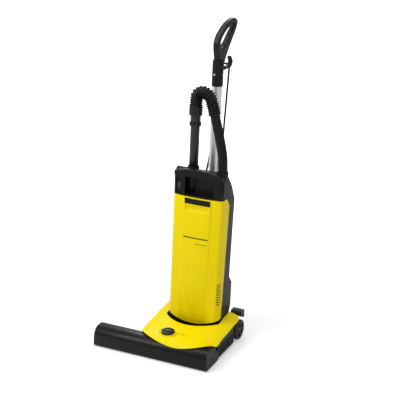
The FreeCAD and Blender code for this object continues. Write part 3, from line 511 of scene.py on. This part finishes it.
def make_marks():
    door_strip("door_stripe", 37, 141, 372.5, 377)
    door_strip("door_small_stripe", 88, 141, 351, 352.6)
    # Painted shade: dark arc where the rim of the dial's recess throws shadow on the deck, round the
    # dial's left side.
    deck_arc("dial_rim_shade_arc", 34.2, 35.4, 100, 235)
    deck_arc("dial_arc_short", 34.2, 35.4, -38, 12, 8)
    for i, turn in enumerate((-30, -17, -4, 9)):
        deck_arc(f"dial_tick_{i}", 37, 41 + 1.5 * i, turn - 1.4, turn + 1.4, 2)
    deck_arc("dial_symbol_ring", 55, 56.4, -1, 14, 6)
    deck_arc("dial_symbol_bar", 60, 68, 4, 7, 2)


def make_grip_screw():
    """Raised screw head on the front of the grip's sleeve."""
    bm = bmesh.new()
    bmesh.ops.create_uvsphere(bm, u_segments=24, v_segments=12, radius=0.0042)
    for vert in bm.verts:
        flat = Vector((vert.co.x, vert.co.y, vert.co.z * 0.45))
        vert.co = body_point(78, 80.6, 990) + Vector((1, 0, 0)) * flat.x + UP * flat.y - BACK * flat.z
    return from_bmesh("grip_screw_head", bm, STEEL, "upright")


# ---- stage, lights and camera ----------------------------------------------------------------------
WORLD_LIGHT = 0.38          # brightness of the white studio round the machine


def make_stage():
    bm = bmesh.new()
    bmesh.ops.create_grid(bm, x_segments=1, y_segments=1, size=20)
    paper, tree, bsdf, coords = shader("floor_white", (0.86, 0.86, 0.86), 0.8, specular=0.1)
    reach = tree.nodes.new("ShaderNodeVectorMath")
    reach.operation = "LENGTH"
    tree.links.new(coords.outputs["Object"], reach.inputs[0])
    rise = tree.nodes.new("ShaderNodeMapRange")
    rise.inputs["From Min"].default_value, rise.inputs["From Max"].default_value = 0.45, 1.6
    rise.inputs["To Min"].default_value, rise.inputs["To Max"].default_value = 0.30, 1.0
    tree.links.new(reach.outputs["Value"], rise.inputs["Value"])
    path = tree.nodes.new("ShaderNodeLightPath")
    seen = tree.nodes.new("ShaderNodeMath")
    seen.operation = "MULTIPLY"
    tree.links.new(path.outputs["Is Camera Ray"], seen.inputs[0])
    tree.links.new(rise.outputs["Result"], seen.inputs[1])
    bsdf.inputs["Emission Color"].default_value = (1, 1, 1, 1)
    tree.links.new(seen.outputs["Value"], bsdf.inputs["Emission Strength"])
    from_bmesh("floor", bm, paper, smooth=False)

    world = bpy.data.worlds.new("studio")
    world.use_nodes = True
    tree = world.node_tree
    backdrop = tree.nodes["Background"]
    backdrop.inputs["Color"].default_value = (1, 1, 1, 1)
    backdrop.inputs["Strength"].default_value = WORLD_LIGHT
    bpy.context.scene.world = world

    def area(name, place, size, power, aim):
        light = bpy.data.lights.new(name, "AREA")
        light.size = size
        light.energy = power
        lamp = bpy.data.objects.new(name, light)
        lamp.location = place
        lamp.rotation_euler = (Vector(aim) - Vector(place)).to_track_quat("-Z", "Y").to_euler()
        bpy.context.scene.collection.objects.link(lamp)

    area("key", (-2.0, -2.2, 3.0), 2.0, 66, (0, 0, 0.5))
    area("fill", (2.8, -2.4, 2.2), 1.6, 10, (0, 0, 0.5))
    area("top", (0.0, 0.0, 3.4), 2.4, 52, (0, 0, 0.3))
    area("back", (-1.5, 3.0, 2.2), 1.6, 24, (0, 0, 0.6))


def make_camera():
    azimuth, elevation = math.radians(25.89), math.radians(22.36)
    back = Vector((math.sin(azimuth) * math.cos(elevation), -math.cos(azimuth) * math.cos(elevation),
                   math.sin(elevation)))
    camera = bpy.data.objects.new("camera", bpy.data.cameras.new("camera"))
    camera.data.lens = 122.08
    camera.data.sensor_width = 36
    camera.data.clip_end = 60
    target = Vector((0.7569, -1.4060, 1.2109))
    camera.location = target + back * 3.5349
    camera.rotation_euler = back.to_track_quat("Z", "Y").to_euler()
    bpy.context.scene.collection.objects.link(camera)
    bpy.context.scene.camera = camera
    bpy.context.scene.view_settings.view_transform = "Standard"


make_camera()
make_stage()
dress_cad_nodes()
make_hose()
make_cord()
make_dust_bag()
make_bristles()
make_louvre_shade_screens()
make_louvre_shade_mouths()
make_marks()
make_grip_screw()
